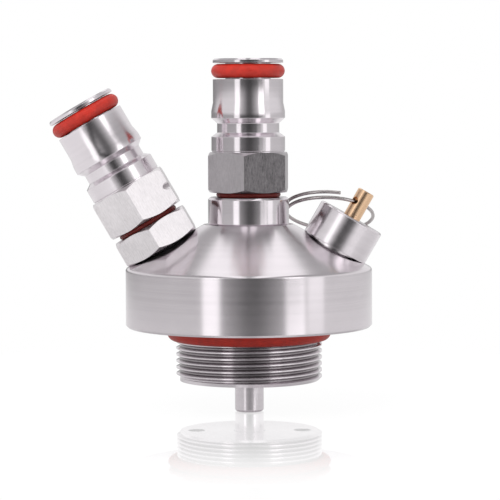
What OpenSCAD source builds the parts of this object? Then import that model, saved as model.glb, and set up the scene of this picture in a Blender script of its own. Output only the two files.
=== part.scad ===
// Tap head for a mini keg: a screw-in lid with a liquid post in the middle, a gas post
// leaning to the left and a pull-ring relief valve leaning to the right.
// The origin is the centre of the flange's underside, where it seats on the keg's rim.

/* [Lid] */
// Radius of the flange
flange_r = 29; // [27:0.1:32]
// Height of the flange's straight side
flange_side_h = 13.2; // [11:0.1:14.5]
// Rounding of the flange's top edge
flange_top_round = 0.9; // [0.4:0.1:1.2]
// Chamfer of the flange's bottom edge
flange_bottom_chamfer = 0.5; // [0.2:0.1:0.8]
// Slope of the cone on top of the flange, in degrees
cone_slope = 30; // [26:1:32]
// Radius of the flat land that the middle collar stands on
land_r = 10.6; // [10.2:0.1:11.2]

/* [Keg neck] */
// Crest radius of the lid's screw thread
neck_crest_r = 17.2; // [16.9:0.1:17.6]
// Depth of that thread
neck_thread_depth = 0.9; // [0.6:0.05:1]
// Pitch of that thread
neck_pitch = 1.5; // [1.3:0.05:1.6]
// Number of full crests above the last one, which the lower chamfer cuts
neck_crests = 5; // [3:1:5]
// Radius of the plain relief above the thread
neck_relief_r = 15.8; // [15.4:0.05:15.9]
// Height of that relief
neck_relief_h = 3.3; // [3.25:0.05:3.9]
// Height of the whole neck below the flange
neck_h = 12.7; // [12.3:0.1:15]
// Chamfer at the neck's lower end
neck_chamfer = 0.8; // [0.5:0.1:1]
// Section diameter of the keg O-ring
keg_oring_cs = 3.45; // [3.2:0.05:3.5]
// Depth of the recess that holds the keg O-ring
keg_recess_depth = 0.25; // [0.2:0.05:0.8]
// Width that the recess leaves round the O-ring
keg_recess_margin = 0.35; // [0.2:0.05:1]

/* [Quick-connect posts] */
// Width across the flats of the hexagons
hex_af = 18; // [17.6:0.1:18.2]
// Height of a post's hexagon
post_hex_h = 9.4; // [8.6:0.1:9.8]
// Radius of the post's two shoulders
post_band_r = 8.65; // [8.5:0.05:8.75]
// Height of the skirt above the hexagon
post_skirt_h = 3.65; // [3.2:0.05:4]
// Height of the undercut where the skirt meets the hexagon
post_undercut_h = 0.3; // [0.2:0.05:0.5]
// Wall between that undercut and the thread's bore
post_undercut_wall = 1.44; // [1.3:0.01:1.5]
// Radius of the locking groove
post_groove_r = 7.3; // [7.1:0.05:7.6]
// Height of the locking groove's floor
post_groove_h = 2.2; // [1.8:0.1:2.6]
// Height of the chamfer below the locking groove
post_groove_lower_chamfer = 0.95; // [0.6:0.05:1.2]
// Height of the chamfer above the locking groove
post_groove_upper_chamfer = 1.2; // [0.8:0.05:1.4]
// Height of the band above the locking groove
post_band_h = 1.6; // [1.4:0.05:2]
// Height of the taper above the band
post_taper_h = 2; // [1.6:0.1:2.2]
// Radius of the upper barrel
post_barrel_r = 8.25; // [8.1:0.05:8.4]
// Height of the upper barrel
post_barrel_h = 5.5; // [5.2:0.1:6]
// Section diameter of the post's top O-ring
post_oring_cs = 3.3; // [3.1:0.05:3.4]
// Axial play of that O-ring in its gland
post_gland_play = 0.5; // [0.2:0.05:0.8]
// Height of the lip above the gland
post_lip_h = 1; // [0.8:0.05:1.2]
// Radius of the mouth
post_mouth_r = 3.9; // [3.75:0.05:4]
// Wall between the mouth and the root of the gland
post_gland_wall = 1.43; // [1.2:0.01:1.6]
// Radius of the valve chamber
post_chamber_r = 5.6; // [5.45:0.05:5.8]
// Height of the seat cone between chamber and mouth
post_seat_h = 2; // [1.8:0.1:2.2]
// Radius of the notch across a gas post's corner
gas_notch_r = 0.9; // [0.6:0.05:1.2]
// Share of the hexagon's height at which that notch lies
gas_notch_share = 0.5; // [0.4:0.05:0.6]

/* [Post threads and seals] */
// Crest radius of the threaded bosses that carry the posts
boss_r = 7; // [6.9:0.05:7.05]
// Pitch of the boss threads
boss_pitch = 1; // [0.8:0.1:1.2]
// Depth of the boss threads
boss_thread_depth = 0.55; // [0.4:0.05:0.6]
// Height of the boss inside the post
boss_in_post_h = 7; // [6.6:0.1:7.4]
// Section diameter of the O-ring under a post
base_oring_cs = 1.1; // [1:0.05:1.2]
// Section diameter of the O-ring under a dip tube's flange
tube_oring_cs = 1.6; // [1.4:0.05:1.8]
// Thickness of a dip tube's flange
tube_flange_h = 0.9; // [0.8:0.05:1.2]
// Radius of a dip tube's flange
tube_flange_r = 6.6; // [6.4:0.05:6.8]
// Outer radius of a dip tube inside the lid
tube_r = 3.65; // [3.55:0.05:3.7]
// Outer radius of a dip tube's stub, which a hose fits over
stub_r = 3.4; // [3.1:0.05:3.45]
// Inner radius of a dip tube
tube_bore_r = 2.4; // [2:0.05:2.5]
// How far the liquid tube reaches below the flange's underside
tube_reach = 20.2; // [17:0.1:40]
// Rounding of a dip tube's lower end
tube_end_round = 0.7; // [0.4:0.05:0.8]
// Length of the gas tube's stub
gas_stub_h = 3; // [2:0.5:6]

/* [Collar and adapter] */
// Radius of the round collar
collar_r = 9.5; // [9.2:0.1:10]
// Height of the round collar
collar_h = 6.4; // [5.6:0.1:7]
// Chamfer of the collar's edges
collar_chamfer = 0.5; // [0.3:0.05:0.7]
// Radius of the collar's spigot in the lid
collar_spigot_r = 6; // [5.8:0.1:6.2]
// Length of the collar's spigot in the lid
collar_spigot_h = 10; // [8:0.5:11]
// Section diameter of the face O-ring under the collar
collar_oring_cs = 1.4; // [1.2:0.05:1.5]
// Wall between the collar's spigot and that O-ring's groove
collar_groove_wall = 0.8; // [0.5:0.05:0.9]
// Height of the gas adapter's hexagon
adapter_hex_h = 6.3; // [5.8:0.1:6.6]
// Radius of the gas adapter's spigot
adapter_spigot_r = 5; // [4.8:0.1:5.2]
// Length of the gas adapter's spigot
adapter_spigot_h = 9; // [8:0.5:9.5]
// Section diameter of the O-rings in the lid's ports
port_oring_cs = 1.4; // [1.2:0.05:1.5]

/* [Ports] */
// Distance of each port from the lid's axis, measured on the cone
port_offset = 20.2; // [19.8:0.1:20.6]
// Depth of the gas tube's end below the cone
gas_tube_depth = 6; // [4:0.5:8]
// Radius of the upright gas drillings inside the lid
passage_r = 2; // [1.8:0.1:2.2]
// Radius of the drillings that lead from the ports to them
port_drill_r = 1.6; // [1.2:0.1:1.7]
// Distance of the upright drillings from the lid's axis
passage_offset = 12.5; // [12:0.1:12.8]

/* [Poppets] */
// Radius of a poppet's stem
poppet_stem_r = 3; // [2.8:0.05:3.1]
// How far a poppet's tip lies below the post's rim
poppet_tip_depth = 1; // [0.6:0.1:1.6]
// Thickness of a poppet's flange
poppet_flange_h = 1.5; // [1.2:0.1:1.8]
// Radius of a poppet's flange
poppet_flange_r = 5.1; // [4.9:0.05:5.2]
// Section diameter of a poppet's seal ring
poppet_seal_cs = 2; // [1.8:0.1:2.1]
// Radius of a poppet's lower guide
poppet_guide_r = 2; // [1.8:0.1:2.2]
// Stroke of a poppet, from its seat until its guide stands on the cage
poppet_stroke = 3; // [2:0.1:3.2]
// Height of the cage that carries a poppet's spring
cage_h = 1.5; // [1.2:0.1:1.8]
// Outer radius of that cage
cage_r = 5.4; // [5.2:0.05:5.5]
// Radius of the three holes in that cage
cage_hole_r = 1.1; // [0.8:0.1:1.3]
// Distance of those holes from the cage's axis
cage_hole_offset = 3.2; // [3:0.1:3.6]
// Radius of a poppet spring's windings
poppet_spring_r = 3.9; // [3.7:0.1:4.2]
// Wire radius of a poppet spring
poppet_wire_r = 0.3; // [0.25:0.05:0.35]
// Turns of a poppet spring
poppet_turns = 5.5; // [4:0.5:6]

/* [Relief valve] */
// Radius of the cap
cap_r = 8.1; // [7.9:0.1:8.3]
// Height of the cap
cap_h = 8.1; // [7.8:0.1:8.6]
// Thickness of the cap's roof
cap_roof_h = 1.2; // [1:0.1:1.6]
// Chamfer of the cap's upper edge
cap_chamfer = 0.35; // [0.2:0.05:0.6]
// Radius of the valve body's upper tube
valve_tube_r = 6.6; // [6.4:0.1:6.7]
// Height of the valve body's upper tube above the lid
valve_tube_h = 4.8; // [4:0.1:5.4]
// Radius of the valve body's flange
valve_flange_r = 7.65; // [7.6:0.05:7.8]
// Thickness of the valve body's flange
valve_flange_h = 1; // [0.8:0.1:1.2]
// Depth of that flange's top below the cone
valve_flange_drop = 0.8; // [0.6:0.1:1]
// Radius of the valve body's spigot
valve_spigot_r = 6.2; // [6.1:0.05:6.25]
// Length of the valve body's spigot below its flange
valve_spigot_h = 4.2; // [4:0.1:4.8]
// Radius of the valve body's cavity
valve_cavity_r = 4.8; // [4.7:0.1:5]
// Thickness of the valve body's floor
valve_floor_h = 2; // [1.8:0.1:2.2]
// Radius of the hole in the valve body's floor
valve_hole_r = 2; // [1.6:0.1:2.2]
// Height of the raised seat round that hole
valve_seat_h = 0.4; // [0.3:0.05:0.6]
// Width of the raised seat
valve_seat_w = 0.8; // [0.6:0.05:1]
// Thickness of the valve's seal disc
valve_seal_h = 1.2; // [1:0.1:1.4]
// Radius of the valve's seal disc
valve_seal_r = 4; // [3.6:0.1:4.2]
// Radius of the stem's flange
stem_flange_r = 4.4; // [4.2:0.1:4.5]
// Thickness of the stem's flange
stem_flange_h = 1.2; // [1:0.1:1.4]
// Radius of the brass stem
stem_r = 2.05; // [1.9:0.05:2.15]
// Height of the stem above the cap
stem_above_cap = 6.9; // [6.6:0.1:8]
// Radius of the stem's sleeve, which stops its lift at the cap's roof
stem_sleeve_r = 2.6; // [2.4:0.05:2.8]
// Chamfer of the stem's top
stem_chamfer = 0.25; // [0.1:0.05:0.4]
// Lift of the stem
stem_lift = 2.5; // [1.5:0.1:2.8]
// Radius of the relief spring's windings
relief_spring_r = 3.4; // [3.2:0.1:3.6]
// Wire radius of the relief spring
relief_wire_r = 0.35; // [0.3:0.05:0.4]
// Turns of the relief spring
relief_turns = 5.5; // [4:0.5:6]

/* [Pull ring] */
// Radius of the wire
ring_wire_r = 0.42; // [0.36:0.01:0.46]
// Radius of the loop at the stem
ring_r = 10.45; // [10.3:0.05:10.6]
// Radius of the cross hole in the stem
ring_hole_r = 0.95; // [0.85:0.05:1]
// Height of that hole above the cap
ring_hole_above_cap = 3.7; // [3.6:0.1:4]
// Turn of that hole about the stem, in degrees
ring_hole_turn = 48; // [46:1:50]
// Lean of the ring below a square stand on the stem, in degrees
ring_lean = 35; // [32:0.5:36]
// Twist of the ring in the hole, in degrees
ring_twist = 7.4; // [6:0.2:8]
// Angle from the hole to the wire's hidden end, in degrees
ring_hidden_sweep = 125; // [100:1:130]
// Angle from the hole to the wire's visible end, in degrees
ring_visible_sweep = 330; // [300:1:332]
// Growth of the loop's radius in a full turn
ring_growth = 0.4; // [0.3:0.05:0.6]
// Climb of the loop in a full turn
ring_climb = 1.25; // [1.2:0.05:1.3]

/* [Hidden] */
// Overrun of every cut past the face that it leaves
overrun = 0.5;
// Radial gap of a thread or spigot in its hole
thread_gap = 0.06;
// How far the liquid tube's shoulder shows below the neck
stub_shoulder = 0.2;
// Radial gap between a dip tube and the bores that it passes
tube_gap = 0.1;
// Gap between two pieces that rest on each other through a curved face
seat_gap = 0.02;
// Gap between the cone and the flat pieces that stand over it
stand_gap = 0.12;
// Gap round the stem in the cap's hole
stem_gap = 0.08;
// Gap between a spring's last winding and the face that it presses
spring_end_gap = 0.05;
// Gap between the cap's thread and the valve body's upper tube
cap_gap = 0.08;
// Chamfer round the lip of a post
lip_chamfer = 0.35;
// Chamfer of the mouth in a post's top
mouth_chamfer = 0.4;
// Chamfer of a boss's top
boss_chamfer = 0.5;
// Depth of the thread relief at a boss's foot
boss_relief_h = 1.4;
// Rise of the hexagon's corner chamfers, in degrees
hex_chamfer_slope = 30;
// Turn of the middle post's hexagon, in degrees
liquid_hex_turn = 25.4;
// Turn of the gas post's hexagon, in degrees
gas_hex_turn = 30;
// Turn of the gas adapter's hexagon, in degrees
adapter_hex_turn = 30;
// Radius at a poppet's tip
poppet_tip_round = 0.6;
// Play on each side of an O-ring in a machined groove
groove_play = 0.05;
// Share of a thread's pitch that its crest takes
crest_share = 0.25;
// Share of a thread's pitch that its root takes
root_share = 0.25;
// Share of a thread's pitch that each flank takes
flank_share = (1 - crest_share - root_share) / 2;
// Facets on true circles
$fn = 96;
// Rings in a full turn of a spring and sides of its wire
spring_rings = 8;
spring_sides = 6;
// Rings in a full turn of the pull ring and sides of its wire
pull_rings = 36;
pull_sides = 8;

// Heights in the lid, upwards from the flange's underside
cone_foot_z = flange_side_h + flange_top_round * tan((90 - cone_slope) / 2);
land_z = cone_foot_z + (flange_r - flange_top_round * tan((90 - cone_slope) / 2) - land_r) * tan(cone_slope);
cone_edge_r = flange_r - flange_top_round * tan((90 - cone_slope) / 2);
collar_top_z = land_z + collar_h;
liquid_post_z = collar_top_z + base_oring_cs + seat_gap * 2;
spigot_foot_z = land_z - collar_spigot_h;
port_z = land_z - (port_offset - land_r) * tan(cone_slope);

// Heights in a post, upwards from its hexagon's underside
skirt_top = post_hex_h + post_skirt_h;
groove_bottom = skirt_top + post_groove_lower_chamfer;
groove_top = groove_bottom + post_groove_h;
band_bottom = groove_top + post_groove_upper_chamfer;
band_top = band_bottom + post_band_h;
barrel_bottom = band_top + post_taper_h;
gland_bottom = barrel_bottom + post_barrel_h;
gland_top = gland_bottom + post_oring_cs + post_gland_play;
post_h = gland_top + post_lip_h;
gland_root_r = post_mouth_r + post_gland_wall;
post_oring_r = gland_root_r + seat_gap + post_oring_cs / 2;
tube_flange_bottom = boss_in_post_h + tube_oring_cs + seat_gap;
shoulder_z = tube_flange_bottom + tube_flange_h;
thread_bore_r = boss_r + thread_gap;
post_undercut_r = thread_bore_r + post_undercut_wall;
seat_bottom = gland_bottom - post_seat_h * 2;
seat_top = seat_bottom + post_seat_h;
seat_run = post_chamber_r - post_mouth_r;
seat_slant = sqrt(seat_run * seat_run + post_seat_h * post_seat_h);
poppet_seal_r = poppet_stem_r + seat_gap + poppet_seal_cs / 2;
poppet_seal_reach = (poppet_seal_cs / 2 + seat_gap) * seat_slant;
poppet_seal_z = seat_bottom + ((post_chamber_r - poppet_seal_r) * post_seat_h - poppet_seal_reach) / seat_run;
poppet_flange_top = poppet_seal_z - poppet_seal_cs / 2 - seat_gap;
poppet_flange_bottom = poppet_flange_top - poppet_flange_h;
poppet_tip_z = post_h - poppet_tip_depth;
cage_top = shoulder_z + cage_h;
poppet_guide_foot = cage_top + poppet_stroke + seat_gap;
hex_corner_r = hex_af / 2 / cos(30);

// Heights on a port's own axis, outwards from the cone's surface
adapter_top = stand_gap + adapter_hex_h;
adapter_foot = stand_gap - adapter_spigot_h;
gas_post_w = adapter_top + base_oring_cs + seat_gap * 2;
port_spot_depth = port_oring_cs + seat_gap * 2 - stand_gap;
adapter_spot_r = adapter_spigot_r + port_oring_cs + seat_gap * 2 + thread_gap;
gas_bore_depth = adapter_spigot_h + overrun;
valve_spot_r = valve_flange_r + thread_gap;
valve_flange_w = -valve_flange_drop - valve_flange_h;
valve_spot_depth = port_oring_cs + seat_gap * 2 - valve_flange_w;
valve_tube_w = stand_gap + valve_tube_h;
valve_foot_w = valve_flange_w - valve_spigot_h;
valve_floor_w = valve_foot_w + valve_floor_h;
valve_seat_top = valve_floor_w + valve_seat_h;
valve_seal_w = valve_seat_top + seat_gap;
stem_flange_w = valve_seal_w + valve_seal_h;
stem_flange_top = stem_flange_w + stem_flange_h;
cap_top = stand_gap + cap_h;
cap_roof_w = cap_top - cap_roof_h;
stem_sleeve_top = cap_roof_w - stem_lift - seat_gap;
stem_top = cap_top + stem_above_cap;
ring_hole_w = cap_top + ring_hole_above_cap;
passage_top = port_z - (port_offset - passage_offset) / tan(cone_slope);
passage_run = (port_offset - passage_offset) / sin(cone_slope);
collar_groove_r = collar_spigot_r + thread_gap + collar_groove_wall;

// Colours of the finishes
steel = [0.78, 0.77, 0.78];
bright_steel = [0.86, 0.86, 0.87];
spring_steel = [0.62, 0.63, 0.65];
brass = [0.76, 0.6, 0.36];
red_rubber = [0.74, 0.2, 0.17];
dark_red_rubber = [0.45, 0.1, 0.1];
black_rubber = [0.13, 0.13, 0.14];

// Places in the lid
module at_liquid_post() {
    translate([0, 0, liquid_post_z]) children();
}

module at_gas_port() {
    translate([-port_offset, 0, port_z]) rotate([0, -cone_slope, 0]) children();
}

module at_gas_post() {
    at_gas_port() translate([0, 0, gas_post_w]) children();
}

module at_relief_port() {
    translate([port_offset, 0, port_z]) rotate([0, cone_slope, 0]) children();
}

// Shared shapes
// A ring of round section round the Z axis, its middle at height z
module oring(ring_radius, section, z) {
    translate([0, 0, z]) rotate_extrude() translate([ring_radius, 0]) circle(d = section, $fn = 48);
}

// Outline points of a thread upwards from the height start, crests at r
function thread_points(r, depth, pitch, count, start) = [
    for (i = [0 : count - 1]) let (z = start + i * pitch) each [
        [r - depth, z + pitch * root_share],
        [r, z + pitch * (root_share + flank_share)],
        [r, z + pitch * (1 - flank_share)],
        [r - depth, z + pitch]
    ]
];

// A chamfered hexagon of the posts' size, standing on the plane z = 0
module hexagon(height, turn) {
    corner_rise = (hex_corner_r - hex_af / 2) * tan(hex_chamfer_slope);
    intersection() {
        rotate([0, 0, turn]) cylinder(r = hex_corner_r, h = height, $fn = 6);
        rotate_extrude() polygon([
            [0, 0], [hex_af / 2, 0], [hex_corner_r, corner_rise], [hex_corner_r, height - corner_rise],
            [hex_af / 2, height], [0, height]
        ]);
    }
}

// Outline of the threaded boss that a post screws onto, upwards from the height foot
function boss_points(bore_r, foot) =
    let (
        top = foot + base_oring_cs + seat_gap * 2 + boss_in_post_h,
        root = boss_r - boss_thread_depth,
        count = floor((top - foot - boss_relief_h - boss_chamfer) / boss_pitch)
    ) concat(
        [[root, foot], [root, foot + boss_relief_h]],
        thread_points(boss_r, boss_thread_depth, boss_pitch, count, foot + boss_relief_h),
        [[root, top - boss_chamfer], [root - boss_chamfer, top], [bore_r, top]]
    );

// A post of the quick-connect pattern, hexagon downwards
module post(turn) {
    difference() {
        union() {
            hexagon(post_hex_h, turn);
            rotate_extrude() polygon([
                [0, post_hex_h - overrun], [post_undercut_r, post_hex_h - overrun],
                [post_undercut_r, post_hex_h + post_undercut_h],
                [post_band_r, post_hex_h + post_undercut_h], [post_band_r, skirt_top],
                [post_groove_r, groove_bottom], [post_groove_r, groove_top], [post_band_r, band_bottom],
                [post_band_r, band_top], [post_barrel_r, barrel_bottom], [post_barrel_r, gland_bottom],
                [gland_root_r, gland_bottom], [gland_root_r, gland_top], [post_barrel_r, gland_top],
                [post_barrel_r, post_h - lip_chamfer], [post_barrel_r - lip_chamfer, post_h], [0, post_h]
            ]);
        }
        rotate_extrude() polygon([
            [0, -overrun], [thread_bore_r, -overrun], [thread_bore_r, shoulder_z],
            [post_chamber_r, shoulder_z], [post_chamber_r, seat_bottom], [post_mouth_r, seat_top],
            [post_mouth_r, post_h - mouth_chamfer], [post_mouth_r + mouth_chamfer, post_h],
            [post_mouth_r + mouth_chamfer, post_h + overrun], [0, post_h + overrun]
        ]);
    }
}

// The valve pin of a post with its flange and lower guide
module poppet() {
    rotate_extrude() polygon([
        [0, poppet_guide_foot], [poppet_guide_r, poppet_guide_foot], [poppet_guide_r, poppet_flange_bottom],
        [poppet_flange_r, poppet_flange_bottom], [poppet_flange_r, poppet_flange_top],
        [poppet_stem_r, poppet_flange_top], [poppet_stem_r, poppet_tip_z - poppet_tip_round],
        [poppet_stem_r - poppet_tip_round, poppet_tip_z], [0, poppet_tip_z]
    ]);
}

// The drilled disc that carries a poppet's spring and stops its guide
module cage() {
    difference() {
        translate([0, 0, shoulder_z]) cylinder(r = cage_r, h = cage_h);
        for (turn = [0 : 120 : 240])
            rotate([0, 0, turn]) translate([cage_hole_offset, 0, shoulder_z - overrun])
                cylinder(r = cage_hole_r, h = cage_h + overrun * 2);
    }
}

// A dip tube with its flange under the post's shoulder, its stub between foot and stub_top
module dip_tube(foot, stub_top) {
    rotate_extrude() polygon(concat(
        [[tube_bore_r, foot + tube_end_round]],
        [for (a = [-90 : 30 : 0])
            [stub_r - tube_end_round * (1 - cos(a)), foot + tube_end_round * (1 + sin(a))]],
        [[stub_r, stub_top], [tube_r, stub_top], [tube_r, tube_flange_bottom]],
        [[tube_flange_r, tube_flange_bottom], [tube_flange_r, shoulder_z], [tube_bore_r, shoulder_z]]
    ));
}

// Points round a wire's section at place p, where out and up span the section
function section_points(p, out, up, r, sides) =
    [for (k = [0 : sides - 1]) p + r * (cos(360 * k / sides) * out + sin(360 * k / sides) * up)];

// A closed tube through rings of points, each with the same number of sides
module tube_of_rings(rings, sides) {
    count = len(rings);
    last = (count - 1) * sides;
    polyhedron([for (ring = rings) each ring], concat(
        [for (i = [0 : count - 2]) for (k = [0 : sides - 1]) let (n = (k + 1) % sides) each [
            [i * sides + k, i * sides + n, (i + 1) * sides + n],
            [i * sides + k, (i + 1) * sides + n, (i + 1) * sides + k]
        ]],
        [for (k = [1 : sides - 2]) [0, k + 1, k]],
        [for (k = [1 : sides - 2]) [last, last + k, last + k + 1]]
    ));
}

// A coil spring round the Z axis between the heights low and high
module spring(coil_r, wire_r, turns, low, high, stroke) {
    first = low + wire_r + spring_end_gap;
    climb = high - low - (wire_r + spring_end_gap) * 2;
    steps = turns * spring_rings;
    echo(spring_gap = climb / turns - wire_r * 2, pressed = (climb - stroke) / turns - wire_r * 2);
    tube_of_rings([for (i = [0 : steps]) let (a = i * 360 / spring_rings)
        section_points([coil_r * cos(a), coil_r * sin(a), first + climb * i / steps],
            [cos(a), sin(a), 0], [0, 0, 1], wire_r, spring_sides)], spring_sides);
}

// Outline of a threaded spigot below the height top, for a revolved piece with the bore bore_r
function spigot_points(r, bore_r, top, foot) =
    let (count = floor((top - foot - boss_chamfer * 2) / boss_pitch)) concat(
        [[bore_r, foot], [r - boss_thread_depth - boss_chamfer / 2, foot]],
        [[r - boss_thread_depth, foot + boss_chamfer / 2]],
        thread_points(r, boss_thread_depth, boss_pitch, count, foot + boss_chamfer),
        [[r - boss_thread_depth, top]]
    );

// The drilling from a port's floor at height start to the neck's end, on the side of the sign
module passage(side, start) {
    translate([side * port_offset, 0, port_z]) rotate([0, side * cone_slope, 0])
        translate([0, 0, -passage_run]) cylinder(r = port_drill_r, h = passage_run + start + overrun);
    translate([side * passage_offset, 0, -neck_h - overrun])
        cylinder(r = passage_r, h = neck_h + overrun + passage_top + passage_r);
}

// Lid and keg seal
module lid_body() {
    neck_root_r = neck_crest_r - neck_thread_depth;
    thread_foot = -neck_relief_h - neck_pitch * neck_crests;
    recess_r = neck_relief_r + keg_oring_cs + keg_recess_margin;
    color(steel) difference() {
        rotate_extrude() polygon(concat(
            [[0, -neck_h], [neck_crest_r - neck_chamfer, -neck_h], [neck_crest_r, neck_chamfer - neck_h]],
            [[neck_crest_r, thread_foot - neck_pitch * flank_share], [neck_root_r, thread_foot]],
            thread_points(neck_crest_r, neck_thread_depth, neck_pitch, neck_crests, thread_foot),
            [[neck_relief_r, -neck_relief_h], [neck_relief_r, keg_recess_depth]],
            [[recess_r, keg_recess_depth], [recess_r, 0]],
            [[flange_r - flange_bottom_chamfer, 0], [flange_r, flange_bottom_chamfer]],
            [for (a = [0 : (90 - cone_slope) / 6 : 90 - cone_slope])
                [flange_r - flange_top_round * (1 - cos(a)), flange_side_h + flange_top_round * sin(a)]],
            [[land_r, land_z], [0, land_z]]
        ));
        translate([0, 0, -neck_h - overrun])
            cylinder(r = tube_r + tube_gap, h = neck_h + land_z + overrun * 2);
        translate([0, 0, spigot_foot_z - overrun])
            cylinder(r = collar_spigot_r + thread_gap, h = collar_spigot_h + overrun * 2);
        translate([0, 0, land_z - collar_oring_cs - seat_gap * 2]) difference() {
            cylinder(r = collar_groove_r + collar_oring_cs + groove_play * 2, h = collar_oring_cs + overrun);
            cylinder(r = collar_groove_r, h = collar_oring_cs + overrun);
        }
        at_gas_port() {
            translate([0, 0, -port_spot_depth]) cylinder(r = adapter_spot_r, h = port_spot_depth + overrun);
            translate([0, 0, -gas_bore_depth])
                cylinder(r = adapter_spigot_r + thread_gap, h = gas_bore_depth);
        }
        at_relief_port() {
            translate([0, 0, -valve_spot_depth]) cylinder(r = valve_spot_r, h = valve_spot_depth + overrun);
            translate([0, 0, valve_foot_w - seat_gap])
                cylinder(r = valve_spigot_r + thread_gap, h = -valve_foot_w);
        }
        passage(-1, -gas_bore_depth);
        passage(1, valve_foot_w);
    }
}

module keg_oring() {
    color(red_rubber)
        oring(neck_relief_r + keg_oring_cs / 2 + groove_play, keg_oring_cs,
            keg_recess_depth - keg_oring_cs / 2 - seat_gap);
}

// Middle column: collar, post and what they hold
module liquid_collar() {
    color(steel) rotate_extrude() polygon(concat(
        spigot_points(collar_spigot_r, tube_r + tube_gap, land_z, spigot_foot_z),
        [[collar_r - collar_chamfer / 2, land_z], [collar_r, land_z + collar_chamfer / 2]],
        [[collar_r, collar_top_z - collar_chamfer], [collar_r - collar_chamfer, collar_top_z]],
        boss_points(tube_r + tube_gap, collar_top_z)
    ));
}

module collar_oring() {
    color(black_rubber)
        oring(collar_groove_r + collar_oring_cs / 2 + groove_play, collar_oring_cs,
            land_z - collar_oring_cs / 2 - seat_gap);
}

module liquid_post() {
    color(bright_steel) at_liquid_post() post(liquid_hex_turn);
}

// Seals, valve and tube of either post, on the post's own axis
module post_oring() {
    color(red_rubber) oring(post_oring_r, post_oring_cs, (gland_bottom + gland_top) / 2);
}

module base_oring() {
    color(dark_red_rubber)
        oring(boss_r - boss_thread_depth + base_oring_cs / 2 + seat_gap, base_oring_cs,
            -base_oring_cs / 2 - seat_gap);
}

module tube_oring() {
    color(black_rubber)
        oring(tube_r + tube_oring_cs / 2 + seat_gap, tube_oring_cs,
            boss_in_post_h + (tube_oring_cs + seat_gap) / 2);
}

module poppet_seal() {
    color(black_rubber) oring(poppet_seal_r, poppet_seal_cs, poppet_seal_z);
}

module poppet_spring() {
    color(spring_steel)
        spring(poppet_spring_r, poppet_wire_r, poppet_turns, cage_top, poppet_flange_bottom, poppet_stroke);
}

module liquid_post_oring() {
    at_liquid_post() post_oring();
}

module liquid_base_oring() {
    at_liquid_post() base_oring();
}

module liquid_poppet() {
    color(steel) at_liquid_post() poppet();
}

module liquid_poppet_seal() {
    at_liquid_post() poppet_seal();
}

module liquid_poppet_spring() {
    at_liquid_post() poppet_spring();
}

module liquid_poppet_cage() {
    color(steel) at_liquid_post() cage();
}

module liquid_dip_tube() {
    color(steel) at_liquid_post()
        dip_tube(-liquid_post_z - tube_reach, -liquid_post_z - neck_h - stub_shoulder);
}

module liquid_tube_oring() {
    at_liquid_post() tube_oring();
}

// Left column: adapter, post and what they hold
module gas_adapter() {
    bore_r = tube_r + tube_gap;
    color(bright_steel) at_gas_port() difference() {
        union() {
            translate([0, 0, stand_gap]) hexagon(adapter_hex_h, adapter_hex_turn);
            rotate_extrude() polygon(concat(
                spigot_points(adapter_spigot_r, 0, stand_gap, adapter_foot),
                boss_points(0, adapter_top)
            ));
        }
        translate([0, 0, adapter_foot - overrun])
            cylinder(r = bore_r, h = gas_post_w + boss_in_post_h - adapter_foot + overrun * 2);
    }
}

module gas_port_oring() {
    color(black_rubber) at_gas_port()
        oring(adapter_spigot_r + port_oring_cs / 2 + seat_gap, port_oring_cs,
            stand_gap - port_oring_cs / 2 - seat_gap);
}

module gas_post() {
    color(bright_steel) at_gas_post() difference() {
        post(gas_hex_turn);
        for (turn = [gas_hex_turn + 120, gas_hex_turn + 300])
            rotate([0, 0, turn]) translate([hex_corner_r, 0, post_hex_h * gas_notch_share])
                rotate([90, 0, 0]) cylinder(r = gas_notch_r, h = hex_af, center = true);
    }
}

module gas_post_oring() {
    at_gas_post() post_oring();
}

module gas_base_oring() {
    at_gas_post() base_oring();
}

module gas_poppet() {
    color(steel) at_gas_post() poppet();
}

module gas_poppet_seal() {
    at_gas_post() poppet_seal();
}

module gas_poppet_spring() {
    at_gas_post() poppet_spring();
}

module gas_poppet_cage() {
    color(steel) at_gas_post() cage();
}

module gas_dip_tube() {
    color(steel) at_gas_post()
        dip_tube(-gas_post_w - gas_tube_depth, -gas_post_w - gas_tube_depth + gas_stub_h);
}

module gas_tube_oring() {
    at_gas_post() tube_oring();
}

// Right column: relief valve and its ring
module relief_valve_body() {
    color(steel) at_relief_port() {
        difference() {
            rotate_extrude() polygon(concat(
                spigot_points(valve_spigot_r, 0, valve_flange_w, valve_foot_w),
                [[valve_flange_r, valve_flange_w], [valve_flange_r, -valve_flange_drop]],
                [[valve_tube_r, -valve_flange_drop], [valve_tube_r, valve_tube_w], [0, valve_tube_w]]
            ));
            translate([0, 0, valve_foot_w - overrun])
                cylinder(r = valve_hole_r, h = valve_floor_h + valve_seat_h + overrun * 2);
            rotate_extrude() polygon([
                [valve_hole_r + valve_seat_w, valve_floor_w], [valve_cavity_r, valve_floor_w],
                [valve_cavity_r, valve_tube_w + overrun], [0, valve_tube_w + overrun],
                [0, valve_seat_top], [valve_hole_r + valve_seat_w, valve_seat_top]
            ]);
        }
    }
}

module relief_port_oring() {
    color(black_rubber) at_relief_port()
        oring(valve_spigot_r + port_oring_cs / 2 + seat_gap, port_oring_cs,
            valve_flange_w - port_oring_cs / 2 - seat_gap);
}

module relief_valve_cap() {
    color(steel) at_relief_port() rotate_extrude() polygon([
        [valve_tube_r + cap_gap, stand_gap], [cap_r, stand_gap], [cap_r, cap_top - cap_chamfer],
        [cap_r - cap_chamfer, cap_top], [stem_r + stem_gap, cap_top], [stem_r + stem_gap, cap_roof_w],
        [valve_cavity_r, cap_roof_w], [valve_cavity_r, valve_tube_w + seat_gap],
        [valve_tube_r + cap_gap, valve_tube_w + seat_gap]
    ]);
}

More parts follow.
